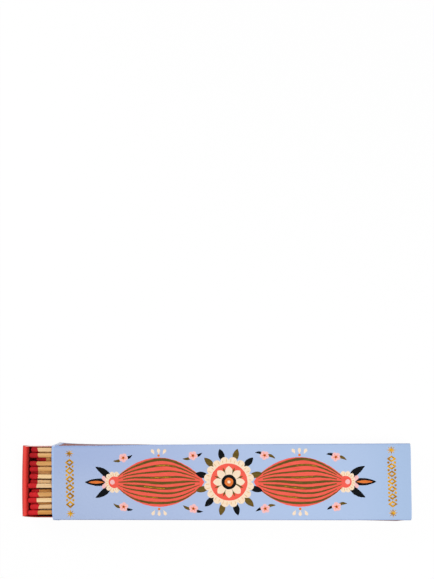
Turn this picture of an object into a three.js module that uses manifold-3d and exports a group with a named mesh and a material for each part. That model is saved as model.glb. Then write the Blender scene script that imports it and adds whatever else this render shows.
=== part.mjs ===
// A long matchbox lying flat: a folded card sleeve, a folded card tray drawn part way out of it, and the long
// matches that lie in the tray with their heads towards its drawn end.
// Millimetres, +Z up. The origin is the middle of the sleeve's underside, +X runs along the box, and the tray is
// drawn out towards -X.
import * as THREE from "three";
import { mergeVertices } from "three/addons/utils/BufferGeometryUtils.js";
import Module from "manifold-3d";

const wasm = await Module();
wasm.setup();

// Sleeve: outside sizes, its card and the outside radius of its four folds.
const sleeveLength = 290;
const sleeveWidth = 61.5;
const sleeveHeight = 21;
const sleeveCard = 0.5;
const sleeveFold = 0.9;
// The glue lap lies inside the -Y wall and stops this far below the top panel.
const lapShort = 2.5;
// At the drawn end the foot of the +Y wall has been pushed out, and at the other end that of the -Y wall.
const mouthFlare = 2.9;
const mouthFlareReach = 40;
const backFlare = 1.65;
const backFlareReach = 60;
// The card was folded a little off square, so the -Y edge of the top lies this much further along +X than the other.
const sleeveSkew = 0.6;

// Tray: how it fits in the sleeve, its card and its folds.
const trayShort = 1;
const trayPlayNear = 0.25;
const trayPlayFar = 1.05;
const trayPlayUnder = 0.2;
const trayPlayOver = 0.6;
const trayOpening = 25.35;
const trayCard = 0.5;
const trayFold = 0.8;
// The side walls draw in towards the end walls, which bulge a little.
const endTuck = 0.2;
const endTuckReach = 24;
const endBulge = 0.5;
// Each end wall turns over at this radius into a flap that goes down steeply to a knee and from there to its foot.
// The reaches run from the outside of the end wall.
const flapFold = 1.75;
const kneeDrop = 6.5;
const headKneeReach = 3.9;
const headFootReach = 4.8;
const tailKneeReach = 3.7;
const tailFootReach = 4;
const flapFootGap = 0.7;
const flapSideGap = 0.4;

// Matches: how they share out the tray, and their head.
const matchColumns = 12;
const matchLayers = 4;
const matchGap = 0.15;
const matchPlay = 5.3;
const headCoat = 0.5;
const headLength = 8;
const matchRestGap = 0.3;
const matchSides = 8;
// In the full lower layers a match's tail lies up to this far to one side of its head's line.
const tailDrift = 0.3;

// The loose upper layers, from the +Y wall: where each match's head and its tail lie, in columns from the tray's
// middle, and how far it has slid back, as a share of its free travel between the flaps.
const looseLayers = [
  [
    [5.35, 5.15, 0.3],
    [3.88, 3.87, 1],
    [2.68, 2.97, 0.15],
    [1.57, 1.09, 0.17],
    [-0.03, -0.35, 0.06],
    [-1.72, -1.49, 0.2],
    [-2.78, -2.38, 0.15],
    [-3.92, -3.27, 0.1],
    [-5.25, -4.16, 0.2],
  ],
  [
    [5.54, 5.25, 0.46],
    [4.565, 4.36, 0.22],
    [3.13, 3.27, 0.25],
    [2.14, 2.38, 0.25],
    [0.92, 0.15, 0.25],
    [-0.72, -0.71, 0],
    [-2.27, -1.51, 0.17],
    [-3.26, -2.31, 0],
    [-4.4, -3.11, 0.31],
    [-5.41, -3.92, 0],
  ],
];

const trayLength = sleeveLength - trayShort;
const lapCard = sleeveCard;
const trayWidth = sleeveWidth - 2 * sleeveCard - lapCard - trayPlayNear - trayPlayFar;
const trayHeight = sleeveHeight - 2 * sleeveCard - trayPlayUnder - trayPlayOver;
const trayEndWidth = trayWidth - 2 * endTuck;
const columnPitch = (trayEndWidth - 2 * trayCard - 2 * matchGap) / matchColumns;
const layerPitch = (trayHeight - trayCard) / matchLayers;
const headWidth = Math.min(columnPitch, layerPitch) - matchGap;
const stickWidth = headWidth - 2 * headCoat;
const matchLength = trayLength - headFootReach - tailFootReach - matchPlay;

// A closed solid through rings of equally many points, capped at both ends. flat turns a point into the plane of the
// caps.
function loft(rings, flat) {
  const count = rings[0].length;
  const positions = rings.flat().flatMap((point) => point.toArray());
  const triangles = [];
  for (let ring = 0; ring + 1 < rings.length; ring++) {
    for (let i = 0; i < count; i++) {
      const a = ring * count + i;
      const b = ring * count + ((i + 1) % count);
      triangles.push([a, b, b + count], [a, b + count, a + count]);
    }
  }
  const lastStart = (rings.length - 1) * count;
  const firstCap = THREE.ShapeUtils.triangulateShape(rings[0].map(flat), []);
  const lastCap = THREE.ShapeUtils.triangulateShape(rings.at(-1).map(flat), []);
  const capTurn = THREE.ShapeUtils.area(rings[0].map(flat)) > 0;
  for (const [a, b, c] of firstCap) triangles.push(capTurn ? [c, b, a] : [a, b, c]);
  for (const [a, b, c] of lastCap) {
    const face = [lastStart + a, lastStart + b, lastStart + c];
    triangles.push(capTurn ? face : face.reverse());
  }
  const geometry = new THREE.BufferGeometry();
  geometry.setAttribute("position", new THREE.Float32BufferAttribute(positions, 3));
  geometry.setIndex(triangles.flat());
  return facingOut(geometry);
}

// The geometry with its triangles turned round if they face into the solid.
function facingOut(geometry) {
  const at = geometry.getAttribute("position");
  const index = geometry.getIndex();
  const corners = [new THREE.Vector3(), new THREE.Vector3(), new THREE.Vector3()];
  let volume = 0;
  for (let i = 0; i < index.count; i += 3) {
    corners.forEach((corner, k) => corner.fromBufferAttribute(at, index.getX(i + k)));
    volume += corners[0].dot(corners[1].clone().cross(corners[2]));
  }
  if (volume < 0) {
    for (let i = 0; i < index.count; i += 3) {
      const first = index.getX(i);
      index.setX(i, index.getX(i + 1));
      index.setX(i + 1, first);
    }
  }
  return geometry;
}

function solidOf(geometry) {
  const bare = geometry.clone();
  bare.deleteAttribute("normal");
  bare.deleteAttribute("uv");
  const merged = mergeVertices(bare, 1e-4);
  const vertProperties = new Float32Array(merged.getAttribute("position").array);
  const triVerts = new Uint32Array(merged.getIndex().array);
  return new wasm.Manifold(new wasm.Mesh({ numProp: 3, vertProperties, triVerts }));
}

function geometryOf(solid) {
  const mesh = solid.getMesh();
  const geometry = new THREE.BufferGeometry();
  geometry.setAttribute("position", new THREE.BufferAttribute(mesh.vertProperties, 3));
  geometry.setIndex(new THREE.BufferAttribute(mesh.triVerts, 1));
  const faceted = geometry.toNonIndexed();
  faceted.computeVertexNormals();
  return faceted;
}

function box(sizeX, sizeY, sizeZ, x, y, z) {
  return solidOf(new THREE.BoxGeometry(sizeX, sizeY, sizeZ).translate(x, y, z));
}

// Points on an arc of a circle, from one angle to another, both in degrees.
function arc(centreX, centreY, radius, fromDegrees, toDegrees, steps) {
  return Array.from({ length: steps + 1 }, (_, i) => {
    const angle = THREE.MathUtils.degToRad(fromDegrees + ((toDegrees - fromDegrees) * i) / steps);
    return [centreX + radius * Math.cos(angle), centreY + radius * Math.sin(angle)];
  });
}

// How far a point of a side wall has been pushed out, at a place along the sleeve and a height.
function wallLean(x, y, z) {
  const end = sleeveLength / 2;
  const along = THREE.MathUtils.clamp(x, -end, end);
  const low = 1 - z / sleeveHeight;
  if (y > 0) return mouthFlare * Math.exp(-(along + end) / mouthFlareReach) * low;
  return -backFlare * Math.exp((along - end) / backFlareReach) * low;
}

// The sleeve's section, as [y, z] points: its outside, or its hollow with the step of the glue lap.
function sleeveSection(isHollow) {
  const inset = isHollow ? sleeveCard : 0;
  const lap = isHollow ? lapCard : 0;
  const radius = sleeveFold - inset;
  const right = sleeveWidth / 2 - inset - radius;
  const left = -sleeveWidth / 2 + inset + radius;
  const top = sleeveHeight - inset - radius;
  const bottom = inset + radius;
  const lapTop = sleeveHeight - sleeveCard - lapShort;
  const step = isHollow
    ? [
        [left - radius, lapTop],
        [left - radius + lap, lapTop],
      ]
    : [];
  return [
    ...arc(right, bottom, radius, -90, 0, 4),
    ...arc(right, top, radius, 0, 90, 4),
    ...arc(left, top, radius, 90, 180, 4),
    ...step,
    ...arc(left + lap, bottom, radius, 180, 270, 4),
  ];
}

function sleeveStations(overrun) {
  const end = sleeveLength / 2;
  const fromMouth = [0.15, 0.35, 0.6, 0.9, 1.3, 1.9, 2.8].map((reach) => -end + reach * mouthFlareReach);
  const fromBack = [2.5, 1.7, 1, 0.45].map((reach) => end - reach * backFlareReach);
  return [-end - overrun, ...fromMouth, ...fromBack, end + overrun].sort((a, b) => a - b);
}

function sleeveLoft(isHollow) {
  const section = sleeveSection(isHollow);
  const rings = sleeveStations(isHollow ? 1 : 0).map((x) =>
    section.map(([y, z]) => new THREE.Vector3(x - (sleeveSkew * y) / sleeveWidth, y + wallLean(x, y, z), z)),
  );
  return solidOf(loft(rings, (point) => new THREE.Vector2(point.y, point.z)));
}

function makeSleeve() {
  return geometryOf(sleeveLoft(false).subtract(sleeveLoft(true)));
}

// The tray stands in its own frame: x from the outside of its head end, y from its middle, z from its underside.
function trayHalfWidth(x) {
  const fromEnd = Math.min(x, trayLength - x);
  return trayWidth / 2 - endTuck * Math.max(0, 1 - fromEnd / endTuckReach) ** 2;
}

function bulgeAt(y) {
  return endBulge * (1 - (y / (trayEndWidth / 2)) ** 2);
}

// The tray's outline seen from above, drawn in by inset, as [x, y] points: one quarter and its mirror images.
function trayOutline(inset) {
  const radius = Math.max(trayFold - inset, 0.05);
  const cornerX = inset + radius;
  const cornerY = trayEndWidth / 2 - inset - radius;
  const end = [0.2, 0.5, 0.8].map((share) => [inset, -share * cornerY]);
  const turned = [...end, ...arc(cornerX, -cornerY, radius, 180, 270, 3)];
  const side = [0.25, 0.5, 0.75, 1].map((share) => share * endTuckReach);
  const quarter = [
    ...turned.map(([x, y]) => [x - bulgeAt(y), y]),
    ...side.map((x) => [x, inset - trayHalfWidth(x)]),
  ];
  const mirrorX = ([x, y]) => [trayLength - x, y];
  const mirrorY = ([x, y]) => [x, -y];
  return [
    ...quarter,
    ...quarter.map(mirrorX).reverse(),
    ...quarter.map(mirrorX).map(mirrorY),
    ...quarter.map(mirrorY).reverse(),
  ];
}

function trayRing(inset, z) {
  return trayOutline(inset).map(([x, y]) => new THREE.Vector3(x, y, z));
}

// The open box of the tray: its outside with folded lower edges, less its hollow.
function trayShell() {
  const flat = (point) => new THREE.Vector2(point.x, point.y);
  const outside = [0, 30, 60, 90].map((degrees) => {
    const angle = THREE.MathUtils.degToRad(degrees);
    return trayRing(trayFold * (1 - Math.sin(angle)), trayFold * (1 - Math.cos(angle)));
  });
  outside.push(trayRing(0, trayHeight));
  const inner = trayFold - trayCard;
  const hollow = [trayRing(trayCard + inner, trayCard), trayRing(trayCard, trayCard + inner)];
  hollow.push(trayRing(trayCard, trayHeight + 1));
  return solidOf(loft(outside, flat)).subtract(solidOf(loft(hollow, flat)));
}

// A flap from the side: the angle at which it leaves its fold, its knee, its foot and its angle below the knee. Angles
// are those of the face's outward normal above the horizontal.
function flapShape(kneeReach, footReach) {
  const foldZ = trayHeight - flapFold;
  const knee = [kneeReach, trayHeight - kneeDrop];
  const foot = [footReach, trayCard + flapFootGap];
  const toKnee = [knee[0] - flapFold, knee[1] - foldZ];
  const upper = Math.atan2(toKnee[1], toKnee[0]) + Math.acos(flapFold / Math.hypot(...toKnee));
  const lower = Math.atan2(foot[0] - knee[0], knee[1] - foot[1]);
  return { knee, foot, upper, lower };
}

const headFlap = flapShape(headKneeReach, headFootReach);
const tailFlap = flapShape(tailKneeReach, tailFootReach);

// How far in from the outside of the end wall a flap's face lies at a height above the tray's underside.
function flapFace({ knee, upper, lower }, z) {
  const rise = z - knee[1];
  return knee[0] - rise * Math.tan(rise > 0 ? upper : lower);
}

// A point moved by the card's thickness from a flap's face to its back, where the face's normal is at one angle on one
// side of the point and at another on the other.
function flapBack([x, z], before, after) {
  const middle = (before + after) / 2;
  const step = trayCard / Math.cos((after - before) / 2);
  return [x - step * Math.cos(middle), z - step * Math.sin(middle)];
}

// An end wall's turned top and its flap, as a bent strip of card across the tray.
function makeFlap({ knee, foot, upper, lower }) {
  const foldZ = trayHeight - flapFold;
  const degrees = THREE.MathUtils.radToDeg(upper);
  const profile = [
    [0, foldZ - flapFold],
    ...arc(flapFold, foldZ, flapFold, 180, degrees, 7),
    knee,
    foot,
    flapBack(foot, lower, lower),
    flapBack(knee, lower, upper),
    ...arc(flapFold, foldZ, flapFold - trayCard, degrees, 180, 7),
    [trayCard, foldZ - flapFold],
  ];
  const halfWidth = trayEndWidth / 2 - trayCard - flapSideGap;
  const rings = [-1, -0.7, -0.35, 0, 0.35, 0.7, 1].map((share) => {
    const y = share * halfWidth;
    return profile.map(([x, z]) => new THREE.Vector3(x - bulgeAt(y), y, z));
  });
  return solidOf(loft(rings, (point) => new THREE.Vector2(point.x, point.z)));
}

function makeTray() {
  const notchDepth = 2 * trayCard + 2 * endBulge;
  const notchWidth = trayEndWidth - 2 * trayCard;
  const notch = box(notchDepth, notchWidth, 2 * flapFold, 0, 0, trayHeight);
  const farFlap = makeFlap(tailFlap).mirror([1, 0, 0]).translate([trayLength, 0, 0]);
  const tray = trayShell()
    .subtract(notch)
    .subtract(notch.translate([trayLength, 0, 0]))
    .add(makeFlap(headFlap))
    .add(farFlap);
  return geometryOf(tray);
}

// A match's head from its tip: how far along it each station lies, its half width there and how far out its corners
// stand, from nearly round on the head to square on the stick.
function headStations() {
  const stick = stickWidth / 2;
  const head = headWidth / 2;
  return [
    [0, 0.3 * head, 1],
    [0.08 * headLength, 0.64 * head, 1.02],
    [0.25 * headLength, 0.93 * head, 1.05],
    [0.45 * headLength, head, 1.08],
    [0.75 * headLength, 0.55 * head + 0.45 * stick, 1.2],
    [headLength, stick, Math.SQRT2],
  ];
}

// A match along +X from the tip of its head.
function makeMatch() {
  const stations = [...headStations(), [matchLength, stickWidth / 2, Math.SQRT2]];
  const rings = stations.map(([x, half, cornerFactor]) =>
    Array.from({ length: matchSides }, (_, i) => {
      const angle = (i * 2 * Math.PI) / matchSides;
      const isCorner = i % 2 === 1;
      const radius = isCorner ? half * cornerFactor : half;
      return new THREE.Vector3(x, radius * Math.cos(angle), radius * Math.sin(angle));
    }),
  );
  return geometryOf(solidOf(loft(rings, (point) => new THREE.Vector2(point.y, point.z))));
}

// The matches of one layer, as [column of the head, column of the tail, share of the free travel]: those of a loose
// layer, or one in each column.
function layerMatches(layer) {
  const loose = looseLayers[layer - (matchLayers - looseLayers.length)];
  if (loose) return loose;
  return Array.from({ length: matchColumns }, (_, i) => {
    const column = (matchColumns - 1) / 2 - i;
    const drift = (tailDrift / columnPitch) * Math.sin(1.7 * i + layer);
    return [column, column + drift, 0.5 + 0.5 * Math.sin(2.4 * i + layer)];
  });
}

// How far in a match's tip lies when its head touches the head flap, or its tail the tail flap.
function frontStop(headZ) {
  const stops = headStations().map(([x, half]) => flapFace(headFlap, headZ - half) - x);
  return Math.max(...stops) + matchRestGap;
}

function backStop() {
  return trayLength - Math.max(tailKneeReach, tailFootReach) - matchRestGap - matchLength;
}

// A match rests on the layer under it at its head and at its tail, where the thinner sticks lie closer together.
function placeMatch(mesh, layer, headColumn, tailColumn, slide) {
  const headZ = trayCard + (layer + 0.5) * layerPitch;
  const tailZ = trayCard + matchGap + stickWidth / 2 + layer * (stickWidth + matchGap);
  const tip = THREE.MathUtils.lerp(frontStop(headZ), backStop(), slide);
  mesh.position.set(tip, headColumn * columnPitch, headZ);
  mesh.rotation.order = "ZYX";
  mesh.rotation.z = Math.atan2((tailColumn - headColumn) * columnPitch, matchLength);
  mesh.rotation.y = Math.atan2(headZ - tailZ, matchLength);
}

const cardBlue = new THREE.MeshStandardMaterial({ color: 0xb2c4e4, roughness: 0.6, metalness: 0 });
const cardRed = new THREE.MeshStandardMaterial({ color: 0xd83e3b, roughness: 0.7, metalness: 0 });
const wood = new THREE.MeshStandardMaterial({ color: 0xe0b07a, roughness: 0.8, metalness: 0 });

const sleeve = new THREE.Mesh(makeSleeve(), cardBlue);
sleeve.name = "sleeve";

const tray = new THREE.Mesh(makeTray(), cardRed);
tray.name = "tray";

const drawn = new THREE.Group();
drawn.add(tray);
drawn.position.x = -sleeveLength / 2 - trayOpening;
drawn.position.y = sleeveWidth / 2 - sleeveCard - trayPlayNear - trayWidth / 2;
drawn.position.z = sleeveCard + trayPlayUnder;

const matchGeometry = makeMatch();
let matchNumber = 0;
for (let layer = 0; layer < matchLayers; layer++) {
  for (const [headColumn, tailColumn, slide] of layerMatches(layer)) {
    const match = new THREE.Mesh(matchGeometry, wood);
    matchNumber += 1;
    match.name = "match_" + String(matchNumber).padStart(2, "0");
    placeMatch(match, layer, headColumn, tailColumn, slide);
    drawn.add(match);
  }
}

const matchbox = new THREE.Group();
matchbox.add(sleeve, drawn);

export default matchbox;
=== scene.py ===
"""Dresses a long matchbox, seen from above: a printed card sleeve, a red card tray drawn part way out of it,
and the wooden matches in the tray.

Lengths are millimetres until a mesh is made; every object is in metres, in the frame's own axes: +X along the
box, +Y across it and +Z up. The mouth is the sleeve's end at -X, from which the tray is drawn, and the tray's
end there is its head end."""

import math
from functools import reduce

import bpy
import numpy as np
from mathutils import Matrix, Vector, geometry, noise


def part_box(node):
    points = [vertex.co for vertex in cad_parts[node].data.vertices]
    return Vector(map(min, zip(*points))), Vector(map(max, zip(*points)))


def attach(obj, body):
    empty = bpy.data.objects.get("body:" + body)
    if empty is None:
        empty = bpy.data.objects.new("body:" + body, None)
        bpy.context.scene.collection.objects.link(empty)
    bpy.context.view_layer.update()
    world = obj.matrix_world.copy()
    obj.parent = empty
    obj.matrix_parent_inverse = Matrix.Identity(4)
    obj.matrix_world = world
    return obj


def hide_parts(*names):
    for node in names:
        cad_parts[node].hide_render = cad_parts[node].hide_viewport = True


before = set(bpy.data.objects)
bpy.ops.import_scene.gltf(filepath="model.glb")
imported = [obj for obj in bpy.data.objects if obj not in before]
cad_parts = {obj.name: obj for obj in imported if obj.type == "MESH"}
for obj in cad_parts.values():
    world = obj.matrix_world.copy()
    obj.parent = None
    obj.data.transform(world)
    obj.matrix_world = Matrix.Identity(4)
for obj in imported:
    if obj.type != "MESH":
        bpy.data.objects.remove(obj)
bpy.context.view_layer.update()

MM = 0.001
WELD = 0.004

# Sleeve: its card, folds and glue lap, its skew and place, the slack of its top and the wave of its walls.
SLEEVE_CARD = 0.5
SLEEVE_FOLD = 0.9
LAP_SHORT = 2.5
SLEEVE_SKEW = 0.6
SLEEVE_SHIFT = 0.2
PANEL_SAG = 0.22
WALL_WAVE = 0.1
# The foot of its +Y wall is pushed out at the mouth, a little more at the very tip.
MOUTH_FLARE = 2.9
MOUTH_FLARE_REACH = 40
FLARE_CURVE = 1.5
TIP_FLARE = 0.5
TIP_FLARE_REACH = 2.5
# The foot of its -Y wall is pushed out a little at the mouth, and more at the far end but for the last of it.
NEAR_FLARE = 1.3
NEAR_FLARE_REACH = 7
BACK_FLARE = 1.85
BACK_FLARE_REACH = 60
BACK_WEAR = 0.8
BACK_WEAR_REACH = 9
# The top's +Y fold is drawn in all along, most of all some way behind the mouth.
FOLD_TUCK = 0.25
MOUTH_TUCK = 0.5
MOUTH_TUCK_BACK = 32
MOUTH_TUCK_REACH = 28
# Its +Y wall bows out again behind the mouth, and the wall's foot is pulled in from the mouth.
WALL_BOW = 0.5
WALL_BOW_BACK = 65
WALL_BOW_REACH = 25
FOOT_PULL = 2.1
FOOT_PULL_REACH = 25
# Its top's corners are rubbed back along each axis, at the mouth so many times as much on the -Y and +Y side.
RUB_X, RUB_Y, RUB_Z = 0.45, 0.4, 0.2
RUB_REACH = 1.6
MOUTH_RUB_NEAR, MOUTH_RUB_FAR = 2.2, 0.9
STATION_STEP = 3
PANEL_STEP = 5

# Striking strips: their distance from the sleeve's ends and foot, how soft and ragged their edges are, and
# how far the +Y one wraps onto the top.
STRIP_END = 5.5
STRIP_FOOT = 3.2
STRIP_SOFT = 0.08
STRIP_RAGGED = 0.35
STRIP_WRAP = 0.9
STRIP_WRAP_REACH = 38

# Print: where its motifs lie from the middle of the top panel, and how uneven the painter's hand is.
ROSETTE_RADIUS = 25
SPINDLE_X = 57
SPINDLE_LENGTH = 74
SPINDLE_WIDTH = 40
SPINDLE_STRIPES = 9
SPRAY_X = 95
SPRIGS = ((29, 21.5), (86, 20))
DROPS_Y = 22.5
DROP_PITCH = 3.4
UNEVENNESS = 0.16
# The gold columns: each one's middle, its stars' distance from it and its number of lozenges.
FOIL_COLUMNS = ((-130.3, -0.9, 24.7, 6), (130.3, 0.2, 25.2, 7))
COLUMN_SLANT = 0.8
STAR_ROOM = 4.1
INKS = ("ground", "coral", "olive", "cream", "shade", "black", "pink", "orange", "gold")

# Tray: its card, folds and flaps.
TRAY_CARD = 0.5
TRAY_FOLD = 0.8
FLOOR_FOLD_STEPS = 5
END_TUCK = 0.05
END_TUCK_REACH = 24
END_BULGE = 0.5
END_SKEW = 0.2
HEAD_PROUD = 0.5
FLAP_FOLD = 1.75
KNEE_DROP = 6.5
HEAD_FLAP = {"knee": 3.9, "foot": 4.8}
TAIL_FLAP = {"knee": 3.7, "foot": 4}
FLAP_FOOT_GAP = 0.7
FLAP_SIDE_GAP = 0.1
# Past the fold a flap narrows, and on the +Y side of the head end so many points later.
HEAD_FLAP_DELAY = 12
TAB_LENGTH = 11
# The +Y wall leans in and its rubbed rim opens out again. The head end's corner on the other side is crushed.
WALL_TUCK = 0.3
RIM_OPEN = 0.45
RIM_OPEN_HEIGHT = 1.3
CORNER_CRUSH = 0.8
CORNER_CRUSH_REACH = 14

# Matches: the height from which the depth of their shade counts, and the sizes of head, coat and stick.
TOP_LAYER = 18.4
HEAD_WIDTH = 4.52
HEAD_TIP = 2.25
HEAD_BLUNTNESS = 2.1
HEAD_LUMPS = 0.035
COAT_LENGTH = 7
COAT_THICKNESS = 0.22
COAT_WOBBLE = 0.22
STICK_WIDTH = 3.52
STICK_SQUARENESS = 6
STICK_STEP = 22
CORNER_ANGLES = (0, 20, 36, 42, 48, 54, 70)
RING = [math.radians(90 * quarter + angle) for quarter in range(4) for angle in CORNER_ANGLES]
# The light and dark colours of each tone of wood.
WOOD_TONES = (
    ("f2d0a2", "e2b47d"),
    ("e3ae6e", "cf934e"),
    ("e8b87c", "d49b59"),
    ("dfa35c", "c5833a"),
    ("fbdcab", "efc58a"),
)

# The matches that show at the drawn end: how long the head's coat is, how much further it runs on the -Y side
# than on the other, how much further along the stick's edges than on its top, and the wood's tone.
VISIBLE_MATCHES = {
    "match_26": (8.5, -0.3, 0, 1),
    "match_28": (6.3, 0.2, 0.1, 2),
    "match_29": (6.6, 0.1, 0, 4),
    "match_30": (7.2, 0.2, 0, 3),
    "match_34": (5.9, 1.3, 0, 0),
    "match_35": (7.5, 0.7, 0.1, 2),
    "match_36": (6.3, 0.1, 1.2, 1),
    "match_37": (7.4, 0, 0.2, 2),
    "match_38": (7.4, -0.6, 0, 4),
    "match_39": (7.7, -0.9, 0.3, 0),
    "match_40": (8.1, 1.9, 0.5, 2),
    "match_41": (7.8, 0.1, 0, 4),
    "match_42": (7.7, -1.5, 0.2, 0),
    "match_43": (8.8, 0.1, 0.2, 3),
}

# The camera looks down from this place in metres, turned by these degrees. The photograph shows the object
# low in its frame, which the lens's shift gives.
CAMERA_PLACE = (0.0353, 0.0009, 0.6999)
CAMERA_TURN = (1.0, 3.806, -0.126)
CAMERA_LENS = 52.33
CAMERA_SENSOR = 36
CAMERA_SHIFT = 0.305

# Light and floor, in metres: the floor's glow is what the camera sees of it.
WORLD_LIGHT = 0.33
FLOOR_SIZE = 60
FLOOR_GREY = (0.8, 0.8, 0.8, 1)
FLOOR_GLOW = 1.02
FLOOR_FADE = {"From Min": 0.2, "From Max": 1.2, "To Min": 0.93, "To Max": 1}


def node_points(name):
    """The corners of a frame node, in millimetres."""
    return np.array([v.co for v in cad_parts[name].data.vertices]) / MM


sleeve_points = node_points("sleeve")
sleeve_end = sleeve_points[:, 0].max()
sleeve_top = sleeve_points[:, 2].max()
panel_half = sleeve_points[sleeve_points[:, 2] > sleeve_top - 0.01, 1].max()
sleeve_half = panel_half + SLEEVE_FOLD

tray_low, tray_high = (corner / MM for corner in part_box("tray"))
tray_start = tray_low.x + END_BULGE
tray_length = tray_high.x - tray_low.x - 2 * END_BULGE
tray_centre = (tray_low.x + tray_high.x) / 2
tray_middle = (tray_low.y + tray_high.y) / 2
tray_half = (tray_high.y - tray_low.y) / 2
tray_height = tray_high.z - tray_low.z


def linear(hex_colour):
    """An sRGB colour written in hex, as linear RGBA."""
    values = [int(hex_colour[i : i + 2], 16) / 255 for i in (0, 2, 4)]
    return (*[v / 12.92 if v <= 0.04045 else ((v + 0.055) / 1.055) ** 2.4 for v in values], 1.0)


def soft_noise(x, y, z=0.0):
    """Smooth noise from -1 to 1."""
    return noise.noise(Vector((x, y, z)))


class Nodes:
    """The node tree of a material or world in the making."""

    def __init__(self, owner):
        owner.use_nodes = True
        self.tree = owner.node_tree
        self.tree.nodes.clear()

    def node(self, kind):
        return self.tree.nodes.new("ShaderNode" + kind)

    def link(self, source, target):
        self.tree.links.new(source, target)

    def put(self, value, socket):
        """Puts a value, or what another node gives, on a socket."""
        if isinstance(value, bpy.types.NodeSocket):
            self.link(value, socket)
        else:
            socket.default_value = value

    def maths(self, operation, *values):
        """A Math node's result."""
        node = self.node("Math")
        node.operation = operation
        for value, socket in zip(values, node.inputs):
            self.put(value, socket)
        return node.outputs[0]

    def times(self, *values):
        return reduce(lambda product, value: self.maths("MULTIPLY", product, value), values)

    def plus(self, *values):
        return reduce(lambda total, value: self.maths("ADD", total, value), values)

    def minus(self, value, less):
        return self.maths("SUBTRACT", value, less)

    def inside(self, value, middle, half):
        """How far inside the nearer of two edges, which are half to either side of a middle."""
        return self.minus(half, self.maths("ABSOLUTE", self.minus(value, middle)))

    def between(self, value, start, end):
        """0 up to start, 1 from end, and smooth in between."""
        node = self.node("MapRange")
        node.interpolation_type = "SMOOTHSTEP"
        self.put(value, node.inputs["Value"])
        self.put(start, node.inputs["From Min"])
        self.put(end, node.inputs["From Max"])
        return node.outputs["Result"]


class Finish(Nodes):
    """A piece's material. Its places are in millimetres of the frame."""

    def __init__(self, name, roughness, specular, metallic=0.0):
        self.material = bpy.data.materials.new(name)
        super().__init__(self.material)
        self.shader = self.node("BsdfPrincipled")
        self.set("Roughness", roughness)
        self.set("Metallic", metallic)
        self.set("Specular IOR Level", specular)
        self.link(self.shader.outputs[0], self.node("OutputMaterial").inputs["Surface"])
        scale = self.node("VectorMath")
        scale.operation = "SCALE"
        scale.inputs["Scale"].default_value = 1 / MM
        self.link(self.node("TexCoord").outputs["Object"], scale.inputs[0])
        self.place = scale.outputs[0]
        split = self.node("SeparateXYZ")
        self.link(self.place, split.inputs[0])
        self.x, self.y, self.z = split.outputs

    def set(self, socket, value):
        self.put(value, self.shader.inputs[socket])

    def noise(self, size, detail, stretch=(1, 1, 1), shift=0.0):
        """Noise from 0 to 1 with features of about this size, each axis stretched by its own factor."""
        mapping = self.node("Mapping")
        mapping.inputs["Location"].default_value = (shift, shift, shift)
        mapping.inputs["Scale"].default_value = [1 / (size * s) for s in stretch]
        self.link(self.place, mapping.inputs["Vector"])
        node = self.node("TexNoise")
        node.inputs["Scale"].default_value = 1
        node.inputs["Detail"].default_value = detail
        self.link(mapping.outputs[0], node.inputs["Vector"])
        return node.outputs["Fac"]

    def mix(self, share, first, second):
        """A colour between two, which are hex or sockets."""
        node = self.node("Mix")
        node.data_type = "RGBA"
        node.clamp_factor = True
        self.put(share, node.inputs["Factor"])
        for colour, socket in ((first, node.inputs["A"]), (second, node.inputs["B"])):
            self.put(linear(colour) if isinstance(colour, str) else colour, socket)
        return node.outputs["Result"]

    def tint(self, colour, target, share, *masks):
        """The colour moved by this share towards another, where the masks are 1."""
        return self.mix(self.times(*masks, share), colour, target)

    def paint(self, colour):
        self.set("Base Color", colour)

    def bump(self, height, depth, strength):
        """Bumps of this depth in millimetres, where height runs from 0 to 1."""
        node = self.node("Bump")
        node.inputs["Strength"].default_value = strength
        node.inputs["Distance"].default_value = depth * MM
        self.link(height, node.inputs["Height"])
        self.link(node.outputs[0], self.shader.inputs["Normal"])


class Sheet:
    """Points and faces gathered into one mesh. Each face has the number of its material."""

    def __init__(self):
        self.points = []
        self.faces = []
        self.finishes = []

    def grid(self, rows):
        """Faces between rows of equally many points, with the first material."""
        start = len(self.points)
        width = len(rows[0])
        self.points += [tuple(point) for row in rows for point in row]
        for i in range(len(rows) - 1):
            for k in range(width - 1):
                a = start + i * width + k
                self.faces.append((a, a + 1, a + width + 1, a + width))
                self.finishes.append(0)

    def add(self, points, faces, finishes):
        start = len(self.points)
        self.points += [tuple(point) for point in points]
        self.faces += [tuple(start + i for i in face) for face in faces]
        self.finishes += finishes

    def make(self, name, finishes):
        """The mesh object, with points that lie together welded."""
        mesh = bpy.data.meshes.new(name)
        mesh.from_pydata([Vector(p) * MM for p in self.points], [], self.faces)
        for finish in finishes:
            mesh.materials.append(finish)
        mesh.polygons.foreach_set("material_index", self.finishes)
        piece = bpy.data.objects.new(name, mesh)
        bpy.context.scene.collection.objects.link(piece)
        joined = piece.modifiers.new("weld", "WELD")
        joined.merge_threshold = WELD * MM
        apply_modifiers(piece)
        return piece


def apply_modifiers(piece):
    """Bakes the piece's modifiers into its mesh."""
    bpy.context.view_layer.update()
    evaluated = piece.evaluated_get(bpy.context.evaluated_depsgraph_get())
    made = bpy.data.meshes.new_from_object(evaluated)
    piece.modifiers.clear()
    piece.data = made


def thicken(piece, card, inside, edge):
    """Gives a sheet the thickness of its card, behind its faces. inside numbers the material of its back, or
    is None where that is as the front, and edge that of its cut edges."""
    front = len(piece.data.polygons)
    solid = piece.modifiers.new("card", "SOLIDIFY")
    solid.thickness = card * MM
    solid.offset = -1
    solid.use_even_offset = True
    apply_modifiers(piece)
    for polygon in piece.data.polygons:
        if polygon.index >= 2 * front:
            polygon.material_index = edge
        elif polygon.index >= front and inside is not None:
            polygon.material_index = inside


def smooth(piece, degrees=35):
    """Smooth shading, with edges sharper than this angle kept sharp."""
    piece.data.polygons.foreach_set("use_smooth", [True] * len(piece.data.polygons))
    piece.data.set_sharp_from_angle(angle=math.radians(degrees))


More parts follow.
